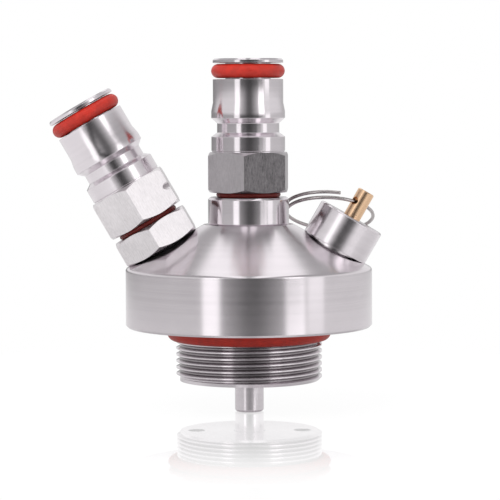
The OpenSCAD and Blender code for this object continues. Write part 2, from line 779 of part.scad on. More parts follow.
module relief_valve_stem() {
    color(brass) at_relief_port() difference() {
        rotate_extrude() polygon([
            [0, stem_flange_w], [stem_flange_r, stem_flange_w], [stem_flange_r, stem_flange_top],
            [stem_sleeve_r, stem_flange_top], [stem_sleeve_r, stem_sleeve_top], [stem_r, stem_sleeve_top],
            [stem_r, stem_top - stem_chamfer], [stem_r - stem_chamfer, stem_top], [0, stem_top]
        ]);
        translate([0, 0, ring_hole_w]) rotate([90, 0, -ring_hole_turn])
            cylinder(r = ring_hole_r, h = stem_r * 4, center = true);
    }
}

module relief_valve_seal() {
    color(black_rubber) at_relief_port()
        translate([0, 0, valve_seal_w]) cylinder(r = valve_seal_r, h = valve_seal_h);
}

module relief_valve_spring() {
    color(spring_steel) at_relief_port()
        spring(relief_spring_r, relief_wire_r, relief_turns, stem_flange_top, cap_roof_w, stem_lift);
}

// A wire loop of a little over one turn, through the stem's cross hole
module pull_ring() {
    sweep = ring_hidden_sweep + ring_visible_sweep;
    steps = ceil(sweep * pull_rings / 360);
    echo(pull_ring_gap = norm([ring_growth, ring_climb]) - ring_wire_r * 2);
    color(bright_steel) at_relief_port() translate([0, 0, ring_hole_w]) rotate([0, 0, -ring_hole_turn])
        rotate([0, -ring_lean, 0]) rotate([0, 0, -ring_twist]) translate([-ring_r, 0, 0])
            tube_of_rings([for (i = [0 : steps])
                let (a = sweep * i / steps - ring_hidden_sweep, r = ring_r + ring_growth * a / 360)
                section_points([r * cos(a), r * sin(a), ring_climb * a / 360],
                    [cos(a), sin(a), 0], [0, 0, 1], ring_wire_r, pull_sides)], pull_sides);
}

lid_body();
keg_oring();
liquid_collar();
collar_oring();
liquid_post();
liquid_post_oring();
liquid_base_oring();
liquid_poppet();
liquid_poppet_seal();
liquid_poppet_spring();
liquid_poppet_cage();
liquid_dip_tube();
liquid_tube_oring();
gas_adapter();
gas_port_oring();
gas_post();
gas_post_oring();
gas_base_oring();
gas_poppet();
gas_poppet_seal();
gas_poppet_spring();
gas_poppet_cage();
gas_dip_tube();
gas_tube_oring();
relief_valve_body();
relief_port_oring();
relief_valve_cap();
relief_valve_stem();
relief_valve_seal();
relief_valve_spring();
pull_ring();
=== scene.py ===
import math

import bmesh
import bpy
from mathutils import Matrix, Vector


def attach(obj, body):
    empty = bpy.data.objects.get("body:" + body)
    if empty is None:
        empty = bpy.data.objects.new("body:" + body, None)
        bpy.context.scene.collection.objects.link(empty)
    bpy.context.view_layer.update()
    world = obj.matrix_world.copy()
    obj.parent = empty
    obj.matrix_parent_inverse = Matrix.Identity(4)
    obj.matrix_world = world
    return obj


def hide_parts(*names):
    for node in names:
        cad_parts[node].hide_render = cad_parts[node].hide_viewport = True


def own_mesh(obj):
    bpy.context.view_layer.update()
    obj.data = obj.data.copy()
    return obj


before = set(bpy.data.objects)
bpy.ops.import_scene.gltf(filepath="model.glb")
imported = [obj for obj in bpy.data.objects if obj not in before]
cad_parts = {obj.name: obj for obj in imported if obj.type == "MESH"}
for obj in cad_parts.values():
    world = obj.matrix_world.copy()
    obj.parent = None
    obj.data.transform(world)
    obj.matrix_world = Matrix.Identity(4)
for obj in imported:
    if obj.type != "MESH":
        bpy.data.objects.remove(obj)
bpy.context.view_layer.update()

# Sizes are in millimetres and turns in degrees, on each piece's own axis, as in the frame
MM = 0.001

# Lid
FLANGE_R = 29
FLANGE_SIDE_H = 13.2
FLANGE_TOP_ROUND = 0.9
FLANGE_BOTTOM_CHAMFER = 0.5
CONE_SLOPE = math.radians(30)
LAND_R = 10.6
NECK_CREST_R = 17.2
NECK_THREAD_DEPTH = 0.9
NECK_PITCH = 1.5
NECK_RELIEF_R = 15.8
NECK_RELIEF_H = 3.3
NECK_H = 12.7
NECK_CHAMFER = 0.8
KEG_ORING_CS = 3.45
KEG_ORING_GAP = 0.05
KEG_RECESS_DEPTH = 0.25
KEG_RECESS_MARGIN = 0.35
PORT_OFFSET = 20.2
PORT_DRILL_R = 1.6
PASSAGE_R = 2
PASSAGE_OFFSET = 12.5
GAS_SPOT_R = 6.5
GAS_SPOT_DEPTH = 1.32
GAS_BORE_DEPTH = 9.5
RELIEF_SPOT_R = 7.71
RELIEF_SPOT_DEPTH = 3.24
RELIEF_SPIGOT_R = 6.2
RELIEF_BORE_DEPTH = 6.02

# Posts
HEX_AF = 18
POST_HEX_H = 9.4
POST_BAND_R = 8.65
POST_SKIRT_H = 3.65
POST_UNDERCUT_H = 0.3
POST_UNDERCUT_DEPTH = 0.15
POST_GROOVE_R = 7.3
POST_GROOVE_H = 2.2
POST_LOWER_CHAMFER = 0.95
POST_UPPER_CHAMFER = 1.2
POST_BAND_H = 1.6
POST_TAPER_H = 2
POST_BARREL_R = 8.25
POST_BARREL_H = 5.5
POST_ORING_CS = 3.3
POST_GLAND_PLAY = 0.5
POST_GLAND_ROOT_R = 5.33
POST_LIP_H = 1
POST_LIP_CHAMFER = 0.35
POST_MOUTH_R = 3.9
POST_MOUTH_CHAMFER = 0.4
POST_CHAMBER_R = 5.6
POST_SEAT_H = 2
GAS_NOTCH_R = 0.9
GAS_NOTCH_TURNS = (150, 330)
GAS_HEX_TURN = 30
LIQUID_HEX_TURN = 25.4
HEX_EDGE_BREAK = 0.2
BOSS_R = 7
BOSS_PITCH = 1
BOSS_THREAD_DEPTH = 0.55
BOSS_CHAMFER = 0.5
BOSS_RELIEF_H = 1.4
BOSS_IN_POST_H = 7
BASE_ORING_CS = 1.1
TUBE_ORING_CS = 1.6
TUBE_FLANGE_H = 0.9
TUBE_FLANGE_R = 6.6
TUBE_R = 3.65
STUB_R = 3.4
STUB_START = 0.2
TUBE_BORE_R = 2.4
TUBE_REACH = 20.2
TUBE_END_ROUND = 0.7
CAGE_H = 1.5
POPPET_STROKE = 3
POPPET_SEAL_CS = 2
POPPET_STEM_R = 3
POPPET_FLANGE_H = 1.5
POPPET_SPRING_R = 3.9
POPPET_WIRE_R = 0.3

# Collar and adapter
COLLAR_R = 9.5
COLLAR_H = 6.4
COLLAR_CHAMFER = 0.5
COLLAR_SPIGOT_R = 6
COLLAR_SPIGOT_H = 10
ADAPTER_HEX_H = 6.3
ADAPTER_SPIGOT_R = 5
ADAPTER_SPIGOT_H = 9

# Relief valve and pull ring
CAP_R = 8.1
CAP_H = 8.1
CAP_ROOF_H = 1.2
CAP_CHAMFER = 0.35
VALVE_TUBE_R = 6.6
VALVE_TUBE_H = 4.8
VALVE_CAVITY_R = 4.8
STEM_R = 2.05
STEM_SLEEVE_R = 2.6
STEM_FLANGE_R = 4.4
STEM_FLANGE_H = 1.2
STEM_ABOVE_CAP = 6.9
STEM_CHAMFER = 0.25
STEM_LIFT = 2.5
STEM_FLANGE_W = -2.38
RELIEF_SPRING_R = 3.4
RELIEF_WIRE_R = 0.35
SPRING_TURNS = 5.5
RING_WIRE_R = 0.42
RING_R = 10.45
RING_HOLE_R = 0.95
RING_HOLE_ABOVE_CAP = 3.7
RING_HOLE_TURN = 48
RING_LEAN = 35
RING_TWIST = 7.4
RING_HIDDEN_SWEEP = 125
RING_VISIBLE_SWEEP = 330
RING_GROWTH = 0.4
RING_CLIMB = 1.25

# Gaps and small steps
SEAT_GAP = 0.02
STAND_GAP = 0.12
THREAD_GAP = 0.06
TUBE_GAP = 0.1
STEM_GAP = 0.08
SPRING_END_GAP = 0.05
EDGE_BREAK = 0.09
EDGE_SEGMENTS = 2
EDGE_ANGLE = 25
WELD = 0.0005
THREAD_WELD = 0.002
RIM_REACH = 0.01
OVERRUN = 0.5
PARTING_LINE = 0.02

# Shares of a pitch at which a thread's root ends and its crest starts and ends
NECK_THREAD_SHARES = (0.2, 0.5, 0.7)
BOSS_THREAD_SHARES = (0.25, 0.5, 0.75)

# Painted shade in the roots of the neck's thread: its start above the neck's foot, and its softness
ROOT_SHADE_START = 1.2
ROOT_SHADE_SOFTNESS = 0.2
# Softness of the edge of the painted shade on one hexagon face
PAINTED_DARK_FACE_SOFTNESS = 0.3

# Steps of the rounded shapes
TURN_STEPS = 144
HEX_SIDE_STEPS = 16
ROUND_STEPS = 6
ROD_SIDES = 64
WIRE_SIDES = 16
ORING_STEPS = 48
SPRING_STEPS = 40
RING_STEP_DEGREES = 2

# Camera: place in metres, fall and roll in degrees
CAMERA_PLACE = (0.0003, -0.55, 0.0535)
CAMERA_FALL = 3.7
CAMERA_ROLL = 0.25
CAMERA_LENS = 168.5
SENSOR_WIDTH = 36

# Lamp over the left shoulder of the camera, in metres and watts
LAMP_PLACE = (-0.25, -0.55, 0.6)
LAMP_AIM = (0, 0, 0.02)
LAMP_SIZE = 0.5
LAMP_POWER = 3.2

# Studio that the metal mirrors: bands as start, end and softness in degrees
WALL_LEVEL = 0.84
WALL_DIM, WALL_DIM_DROP = (-24, 32, 9), 0.34
WALL_DARK, WALL_DARK_DROP = (-10, 18, 12), 0.38
WALL_LEFT_STRIP, WALL_LEFT_GAIN = (-43, -27, 2), 0.7
WALL_RIGHT_STRIP = (34, 53, 2)
HORIZON_LEVEL = 0.34
HORIZON_RIGHT, HORIZON_RIGHT_GAIN = (40, 60), 0.26
HORIZON_REAR, HORIZON_REAR_DROP = (110, 150), 0.06
HORIZON_DARK, HORIZON_DARK_DROP = (-25, 48, 2), 0.3
HORIZON_STRIPS, HORIZON_STRIP_GAIN = ((-44, -27, 1.5), (56, 73, 1.5)), 0.7
HORIZON_HEIGHT = (-3.5, 5, 1)
GROUND_HEIGHT, GROUND_LEVEL = (-90, -14, 3), 0.9
CEILING_LIGHTS, CEILING_LIGHT_GAIN = ((-17, -3, 0.7), (4, 19, 0.7)), 0.75
CEILING_LEVEL = 0.44
CEILING_START = (24, 38)

# Table top: distances in millimetres from the lid's axis, and its fall as a slope
FLOOR_R = 420
FLOOR_SIDES = 96
FLOOR_FADE = (60, 150)
FLOOR_GLOW = 1.06
FLOOR_GLOW_IN_METAL = 0.5
FLOOR_GREY = 0.14
MIRROR_FALL = 0.0445
MIRROR_ROUGHNESS = 0.03
MIRROR_SHARE = 0.5
MIRROR_FADE, MIRROR_FADE_DROP = (40, 110), 0.3

# Colours
WHITE = (1, 1, 1, 1)
STEEL = (0.80, 0.75, 0.785)
PALE_STEEL = (0.9, 0.86, 0.88)
# Steel of the liquid post's hexagon, darkened as painted shade
LIQUID_HEX_SHADED_STEEL = (0.58, 0.545, 0.57)
WIRE_STEEL = (0.52, 0.48, 0.48)
BRASS = (0.84, 0.57, 0.37)
RED_SILICONE = (0.58, 0.03, 0.017)
DARK_RED_SILICONE = (0.22, 0.02, 0.015)
BLACK_RUBBER = (0.03, 0.03, 0.032)
# Colour of the painted shade in the neck's thread roots
ROOT_SHADE_COLOUR = (0.10, 0.08, 0.085, 1)
DUST = (0.75, 0.6, 0.55, 1)

# Heights that follow from these
round_run = FLANGE_TOP_ROUND * math.tan((math.pi / 2 - CONE_SLOPE) / 2)
land_z = FLANGE_SIDE_H + round_run + (FLANGE_R - round_run - LAND_R) * math.tan(CONE_SLOPE)
collar_top_z = land_z + COLLAR_H
liquid_post_z = collar_top_z + BASE_ORING_CS + SEAT_GAP * 2
spigot_foot_z = land_z - COLLAR_SPIGOT_H
port_z = land_z - (PORT_OFFSET - LAND_R) * math.tan(CONE_SLOPE)
skirt_top = POST_HEX_H + POST_SKIRT_H
groove_bottom = skirt_top + POST_LOWER_CHAMFER
groove_top = groove_bottom + POST_GROOVE_H
band_bottom = groove_top + POST_UPPER_CHAMFER
band_top = band_bottom + POST_BAND_H
barrel_bottom = band_top + POST_TAPER_H
gland_bottom = barrel_bottom + POST_BARREL_H
gland_top = gland_bottom + POST_ORING_CS + POST_GLAND_PLAY
post_h = gland_top + POST_LIP_H
shoulder_z = BOSS_IN_POST_H + TUBE_ORING_CS + SEAT_GAP + TUBE_FLANGE_H
seat_bottom = gland_bottom - POST_SEAT_H * 2
seat_top = seat_bottom + POST_SEAT_H
adapter_top = STAND_GAP + ADAPTER_HEX_H
gas_post_w = adapter_top + BASE_ORING_CS + SEAT_GAP * 2
cap_top = STAND_GAP + CAP_H
cap_roof_w = cap_top - CAP_ROOF_H
valve_tube_w = STAND_GAP + VALVE_TUBE_H
stem_top = cap_top + STEM_ABOVE_CAP
ring_hole_w = cap_top + RING_HOLE_ABOVE_CAP


def at(x=0.0, z=0.0, lean=0.0, along=0.0):
    """Place of a piece whose axis leans about Y from the point x, z, and starts some way along it."""
    return (Matrix.Translation((x * MM, 0, z * MM)) @ Matrix.Rotation(lean, 4, "Y")
            @ Matrix.Translation((0, 0, along * MM)))


def rotation(degrees, axis="Z"):
    """A turn about an axis."""
    return Matrix.Rotation(math.radians(degrees), 4, axis)


UPRIGHT = at()
LIQUID_POST = at(z=liquid_post_z)
GAS_PORT = at(-PORT_OFFSET, port_z, -CONE_SLOPE)
GAS_POST = at(-PORT_OFFSET, port_z, -CONE_SLOPE, gas_post_w)
RELIEF_PORT = at(PORT_OFFSET, port_z, CONE_SLOPE)


def place_camera():
    """Camera at the photograph's distance, height and slight roll."""
    camera = bpy.data.objects.new("camera", bpy.data.cameras.new("camera"))
    camera.data.sensor_width = SENSOR_WIDTH
    camera.data.lens = CAMERA_LENS
    camera.data.clip_start = 0.02
    camera.location = CAMERA_PLACE
    camera.rotation_euler = (rotation(90 - CAMERA_FALL, "X") @ rotation(-CAMERA_ROLL)).to_euler()
    bpy.context.scene.collection.objects.link(camera)
    bpy.context.scene.camera = camera


# Shader writing
class Signal:
    """A socket of a node tree that takes part in Python expressions."""

    def __init__(self, tree, socket):
        self.tree = tree
        self.socket = socket

    def maths(self, operation, *values):
        node = self.tree.add("ShaderNodeMath", {"operation": operation}, dict(enumerate(values)))
        return Signal(self.tree, node.outputs[0])

    def __add__(self, other):
        return self.maths("ADD", self, other)

    def __radd__(self, other):
        return self.maths("ADD", other, self)

    def __sub__(self, other):
        return self.maths("SUBTRACT", self, other)

    def __rsub__(self, other):
        return self.maths("SUBTRACT", other, self)

    def __mul__(self, other):
        return self.maths("MULTIPLY", self, other)

    def __rmul__(self, other):
        return self.maths("MULTIPLY", other, self)

    def __neg__(self):
        return self.maths("MULTIPLY", self, -1)

    def __abs__(self):
        return self.maths("ABSOLUTE", self)

    def __pow__(self, power):
        return self.maths("POWER", self, power)

    def rise(self, start, end):
        """0 below start, 1 above end, smooth between them."""
        node = self.tree.add("ShaderNodeMapRange", {"interpolation_type": "SMOOTHSTEP"},
                             {"Value": self, "From Min": start, "From Max": end})
        return Signal(self.tree, node.outputs["Result"])

    def band(self, start, end, soft):
        """1 between start and end, with soft edges."""
        return self.rise(start - soft, start + soft) - self.rise(end - soft, end + soft)


class Tree:
    """A node tree that is being written."""

    def __init__(self, owner):
        owner.use_nodes = True
        self.nodes = owner.node_tree.nodes
        self.links = owner.node_tree.links
        self.nodes.clear()

    def add(self, kind, settings=None, inputs=None):
        """Adds a node: its settings first, then the values or links of its sockets."""
        node = self.nodes.new(kind)
        for name, value in (settings or {}).items():
            setattr(node, name, value)
        for name, value in (inputs or {}).items():
            self.feed(node.inputs[name], value)
        return node

    def feed(self, socket, value):
        """Links a signal to a socket, or sets the socket's own value."""
        if isinstance(value, Signal):
            self.links.new(value.socket, socket)
        else:
            socket.default_value = value

    def out(self, node, name=0):
        return Signal(self, node.outputs[name])

    def own_axes(self, place):
        """Distances in metres along the three axes of a piece's own place."""
        point = self.add("ShaderNodeTexCoord")
        local = self.add("ShaderNodeMapping", {"vector_type": "TEXTURE"}, {
            "Vector": self.out(point, "Object"),
            "Location": place.to_translation(),
            "Rotation": place.to_euler(),
        })
        split = self.add("ShaderNodeSeparateXYZ", inputs={"Vector": self.out(local)})
        return [self.out(split, axis) for axis in "XYZ"]

    def point(self, x, y, z):
        return self.out(self.add("ShaderNodeCombineXYZ", inputs={"X": x, "Y": y, "Z": z}))

    def noise(self, vector, size, detail=2.0, roughness=0.5):
        """Noise whose grains are of a size in millimetres."""
        node = self.add("ShaderNodeTexNoise", {"noise_dimensions": "3D"}, {
            "Vector": vector, "Scale": 1 / (size * MM), "Detail": detail, "Roughness": roughness})
        return self.out(node, "Fac")

    def blend(self, factor, low, high):
        """Mixes two colours by a number."""
        node = self.add("ShaderNodeMix", {"data_type": "RGBA"})
        for name, value in (("Factor_Float", factor), ("A_Color", low), ("B_Color", high)):
            self.feed(next(s for s in node.inputs if s.identifier == name), value)
        return Signal(self, next(s for s in node.outputs if s.identifier == "Result_Color"))

    def bump(self, height, depth):
        node = self.add("ShaderNodeBump", inputs={"Height": height, "Distance": depth, "Strength": 1.0})
        return self.out(node)

    def surface(self, shader):
        self.add("ShaderNodeOutputMaterial", inputs={"Surface": self.out(shader)})


def shade(colour, share):
    """A colour as a socket value, at a share of its brightness."""
    return (colour[0] * share, colour[1] * share, colour[2] * share, 1)


def start_finish(name, place):
    """A new material, its tree, and the distances along the axes of the piece's place."""
    material = bpy.data.materials.new(name)
    tree = Tree(material)
    return material, tree, tree.own_axes(place)


def turned_finish(name, place, colour=STEEL, roughness=0.2, spread=0.0, pitch=0.14, depth=0.0, root_shade_crest_r=0.0):
    """Metal from the lathe: fine rings round the piece's axis, over soft patches of wear, with painted shade
    in a thread's roots if a crest radius is given.
    """
    material, tree, (x, y, z) = start_finish(name, place)
    radius = (x * x + y * y) ** 0.5
    rings = tree.noise(tree.point(radius, 0.0, z), pitch, 3, 0.7)
    feed = tree.noise(tree.point(radius, 0.0, z), pitch * 9, 1)
    patches = tree.noise(tree.point(x, y, z), 7, 3)
    scuffs = tree.noise(tree.point(x, y, z * 0.2), 0.5, 4, 0.7).rise(0.62, 0.8)
    wear = rings * 0.5 + feed * 0.25 + patches * 0.25
    skin = tree.blend(wear.rise(0.25, 0.75), shade(colour, 0.92), shade(colour, 1.05))
    if root_shade_crest_r:
        # Painted shade in the roots of the thread whose crests are at this radius
        depth_share = (root_shade_crest_r * MM - radius).rise(0.1 * MM, 0.8 * MM)
        root_shade = depth_share * z.band((ROOT_SHADE_START - NECK_H) * MM, -NECK_RELIEF_H * MM, ROOT_SHADE_SOFTNESS * MM)
        skin = tree.blend(root_shade * (0.5 + patches * 0.3), skin, ROOT_SHADE_COLOUR)
    shader = tree.add("ShaderNodeBsdfPrincipled", inputs={
        "Base Color": skin,
        "Metallic": 1.0,
        "Roughness": roughness * (0.75 + wear * 0.5) + scuffs * 0.06,
        "Anisotropic": spread,
        "Anisotropic Rotation": 0.25,
        "Normal": tree.bump(rings * 0.7 + feed * 2.0 + scuffs * 0.15, depth * MM),
    })
    tree.surface(shader)
    return material


def milled_finish(name, place, colour, roughness=0.3, depth=0.004, painted_dark_face=None):
    """Metal from the milling cutter: short strokes along the axis and a fine speckle. The face whose normal
    is at the given angle in degrees from the X axis is darkened with painted shade."""
    material, tree, (x, y, z) = start_finish(name, place)
    strokes = tree.noise(tree.point(x, y, z * 0.12), 0.22, 3, 0.7)
    speckle = tree.noise(tree.point(x, y, z * 0.5), 0.35, 4, 0.75)
    patches = tree.noise(tree.point(x, y, z), 4, 3)
    wear = strokes * 0.45 + speckle * 0.35 + patches * 0.2
    skin = tree.blend(wear.rise(0.3, 0.7), shade(colour, 0.78), shade(colour, 1.05))
    # Painted shade: one face of the hexagon is made darker
    if painted_dark_face is not None:
        turn_angle = math.radians(painted_dark_face)
        face_at = HEX_AF / 2 * MM
        beyond = (x * math.cos(turn_angle) + y * math.sin(turn_angle)).rise(
            face_at - PAINTED_DARK_FACE_SOFTNESS * MM, face_at)
        painted_face_shade = tree.blend(wear.rise(0.3, 0.7), shade(colour, 0.13), shade(colour, 0.42))
        skin = tree.blend(beyond, skin, painted_face_shade)
    shader = tree.add("ShaderNodeBsdfPrincipled", inputs={
        "Base Color": skin,
        "Metallic": 1.0,
        "Roughness": roughness * (0.7 + wear * 0.6),
        "Normal": tree.bump(strokes + speckle, depth * MM),
    })
    tree.surface(shader)
    return material


def silicone_finish(name, place, colour, roughness=0.42):
    """Moulded rubber: an even colour with faint mottling, dust and a soft gloss."""
    material, tree, (x, y, z) = start_finish(name, place)
    mottle = tree.noise(tree.point(x, y, z), 1.6, 4, 0.6)
    grain = tree.noise(tree.point(x, y, z), 0.16, 2)
    dust = tree.noise(tree.point(x, y, z), 0.5, 4, 0.8).rise(0.66, 0.8)
    body = tree.blend(mottle.rise(0.3, 0.7), shade(colour, 0.85), shade(colour, 1.1))
    shader = tree.add("ShaderNodeBsdfPrincipled", inputs={
        "Base Color": tree.blend(dust * 0.12, body, DUST),
        "Roughness": roughness + mottle * 0.12 + dust * 0.1,
        "Specular IOR Level": 0.45,
        "Normal": tree.bump(grain + mottle, 0.006 * MM),
    })
    tree.surface(shader)
    return material


def wire_finish(name, place):
    """Drawn wire: die marks and slight staining."""
    material, tree, (x, y, z) = start_finish(name, place)
    stain = tree.noise(tree.point(x, y, z), 1.8, 4, 0.65)
    marks = tree.noise(tree.point(x, y, z), 0.12, 2)
    shader = tree.add("ShaderNodeBsdfPrincipled", inputs={
        "Base Color": tree.blend(stain.rise(0.3, 0.7), shade(WIRE_STEEL, 0.8), shade(WIRE_STEEL, 1.08)),
        "Metallic": 1.0,
        "Roughness": 0.16 + stain * 0.14,
        "Normal": tree.bump(marks, 0.003 * MM),
    })
    tree.surface(shader)
    return material


# Shape making, in millimetres on the piece's own axis
def turn(bm, outline, closed=True):
    """Spins an outline of radius and height about the axis."""
    verts = [bm.verts.new((r, 0, z)) for r, z in outline]
    edges = [bm.edges.new(pair) for pair in zip(verts, verts[1:])]
    if closed:
        edges.append(bm.edges.new((verts[-1], verts[0])))
    bmesh.ops.spin(bm, geom=verts + edges, cent=(0, 0, 0), axis=(0, 0, 1), angle=math.tau,
                   steps=TURN_STEPS, use_merge=True)


def ridges(r, depth, pitch, count, start):
    """Outline of a thread upwards from the height start, its crests at r."""
    foot, crest, end = BOSS_THREAD_SHARES
    return [point for i in range(count) for point in (
        (r - depth, start + pitch * (i + foot)), (r, start + pitch * (i + crest)),
        (r, start + pitch * (i + end)), (r - depth, start + pitch * (i + 1)))]


def spigot(r, bore_r, top, foot):
    """Outline of a threaded end that screws into the lid."""
    root = r - BOSS_THREAD_DEPTH
    count = math.floor((top - foot - BOSS_CHAMFER * 2) / BOSS_PITCH)
    return [(bore_r, foot), (root - BOSS_CHAMFER / 2, foot), (root, foot + BOSS_CHAMFER / 2),
            *ridges(r, BOSS_THREAD_DEPTH, BOSS_PITCH, count, foot + BOSS_CHAMFER), (root, top)]


def boss(bore_r, foot):
    """Outline of the threaded end that a post screws on to."""
    top = foot + BASE_ORING_CS + SEAT_GAP * 2 + BOSS_IN_POST_H
    root = BOSS_R - BOSS_THREAD_DEPTH
    count = math.floor((top - foot - BOSS_RELIEF_H - BOSS_CHAMFER) / BOSS_PITCH)
    return [(root, foot), (root, foot + BOSS_RELIEF_H),
            *ridges(BOSS_R, BOSS_THREAD_DEPTH, BOSS_PITCH, count, foot + BOSS_RELIEF_H),
            (root, top - BOSS_CHAMFER), (root - BOSS_CHAMFER, top), (bore_r, top)]


def arc(r, z, size, first, last):
    """Outline of a round from one angle to another, its outermost point at r and the height z."""
    turns = [first + (last - first) * i / ROUND_STEPS for i in range(ROUND_STEPS + 1)]
    return [(r - size * (1 - math.cos(a)), z + size * math.sin(a)) for a in turns]


def on_circle(radius, z):
    """A move of each point outwards or inwards to a circle at a height."""
    return lambda co: Vector((*(co.xy.normalized() * radius), z))


def next_loop(bm, edges, move):
    """Extrudes a loop of edges and moves each new vertex."""
    made = bmesh.ops.extrude_edge_only(bm, edges=edges)["geom"]
    for vert in (g for g in made if isinstance(g, bmesh.types.BMVert)):
        vert.co = move(vert.co)
    return [g for g in made if isinstance(g, bmesh.types.BMEdge)]


def hexagon(bm, height, turn_angle, bore_r):
    """A hexagon whose corners are chamfered on the lathe at both ends, with a bore."""
    corner_r = HEX_AF / 2 / math.cos(math.pi / 6)
    fall = math.tan(math.pi / 6)
    bmesh.ops.create_circle(bm, segments=6, radius=corner_r, matrix=rotation(turn_angle - 90))
    bmesh.ops.subdivide_edges(bm, edges=bm.edges[:], cuts=HEX_SIDE_STEPS - 1)

    def chamfer(co):
        return (co.xy.length - HEX_AF / 2) * fall

    for vert in bm.verts:
        vert.co.z = chamfer(vert.co)
    first = bm.edges[:]
    loop = next_loop(bm, first, lambda co: Vector((co.x, co.y, height - chamfer(co))))
    loop = next_loop(bm, loop, on_circle(HEX_AF / 2 - WELD, height))
    loop = next_loop(bm, loop, on_circle(bore_r, height))
    loop = next_loop(bm, loop, on_circle(bore_r, 0))
    loop = next_loop(bm, loop, on_circle(HEX_AF / 2 - WELD, 0))
    bmesh.ops.bridge_loops(bm, edges=loop + first)


def settle(bm, name, place, finish, body, nodes, edge=EDGE_BREAK):
    """Makes a drawn shape a finished piece that stands for CAD nodes, with its edges broken."""
    bmesh.ops.remove_doubles(bm, verts=bm.verts[:], dist=WELD)
    bmesh.ops.recalc_face_normals(bm, faces=bm.faces[:])
    for face in bm.faces:
        face.smooth = True
    bmesh.ops.transform(bm, matrix=place @ Matrix.Scale(MM, 4), verts=bm.verts[:])
    mesh = bpy.data.meshes.new(name)
    bm.to_mesh(mesh)
    bm.free()
    mesh.materials.append(finish)
    piece = bpy.data.objects.new(name, mesh)
    bpy.context.scene.collection.objects.link(piece)
    if edge:
        breaks = piece.modifiers.new("edge_break", "BEVEL")
        breaks.width = edge * MM
        breaks.segments = EDGE_SEGMENTS
        breaks.limit_method = "ANGLE"
        breaks.angle_limit = math.radians(EDGE_ANGLE)
        breaks.harden_normals = True
    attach(piece, body)
    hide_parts(*nodes)
    return piece


def cut_out(piece, bm, place):
    """Takes a drawn shape, in the millimetres of its own place, out of a piece."""
    bmesh.ops.recalc_face_normals(bm, faces=bm.faces[:])
    bmesh.ops.transform(bm, matrix=place @ Matrix.Scale(MM, 4), verts=bm.verts[:])
    mesh = bpy.data.meshes.new("cutter")
    bm.to_mesh(mesh)
    bm.free()
    tool = bpy.data.objects.new("cutter", mesh)
    bpy.context.scene.collection.objects.link(tool)
    cut = piece.modifiers.new("cut", "BOOLEAN")
    cut.operation = "DIFFERENCE"
    cut.solver = "EXACT"
    cut.object = tool
    piece.modifiers.move(len(piece.modifiers) - 1, 0)
    breaks = [m for m in piece.modifiers if m != cut]
    for modifier in breaks:
        modifier.show_viewport = False
    bpy.context.view_layer.update()
    result = bpy.data.meshes.new_from_object(piece.evaluated_get(bpy.context.evaluated_depsgraph_get()))
    old = piece.data
    name = old.name
    piece.modifiers.remove(cut)
    for modifier in breaks:
        modifier.show_viewport = True
    piece.data = result
    bpy.data.meshes.remove(old)
    result.name = name
    bpy.data.objects.remove(tool)
    bpy.data.meshes.remove(mesh)


def rod(radius, low, high, matrix=Matrix()):
    """A closed cylinder from low to high along Z."""
    bm = bmesh.new()
    middle = Matrix.Translation((0, 0, (low + high) / 2))
    bmesh.ops.create_cone(bm, segments=ROD_SIDES, radius1=radius, radius2=radius, depth=high - low,
                          cap_ends=True, matrix=matrix @ middle)
    return bm


def join(bm, other):
    """Adds another drawn shape to bm."""
    spare = bpy.data.meshes.new("spare")
    other.to_mesh(spare)
    other.free()
    bm.from_mesh(spare)
    bpy.data.meshes.remove(spare)


def wire(points, radius, matrix=Matrix()):
    """A round wire along a row of points, with closed ends."""
    curve = bpy.data.curves.new("wire", "CURVE")
    curve.dimensions = "3D"
    curve.bevel_depth = radius
    curve.bevel_resolution = WIRE_SIDES // 4 - 1
    curve.use_fill_caps = True
    row = curve.splines.new("POLY")
    row.points.add(len(points) - 1)
    for knot, point in zip(row.points, points):
        knot.co = (*point, 1)
    carrier = bpy.data.objects.new("wire", curve)
    mesh = carrier.to_mesh()
    bm = bmesh.new()
    bm.from_mesh(mesh)
    carrier.to_mesh_clear()
    bpy.data.objects.remove(carrier)
    bpy.data.curves.remove(curve)
    bmesh.ops.transform(bm, matrix=matrix, verts=bm.verts[:])
    return bm


def coil(radius, wire_r, low, high):
    """A coil spring between two heights."""
    first = low + wire_r + SPRING_END_GAP
    climb = high - low - (wire_r + SPRING_END_GAP) * 2
    steps = int(SPRING_TURNS * SPRING_STEPS)
    turns = [math.tau * i / SPRING_STEPS for i in range(steps + 1)]
    return wire([(radius * math.cos(a), radius * math.sin(a), first + climb * i / steps)
                 for i, a in enumerate(turns)], wire_r)


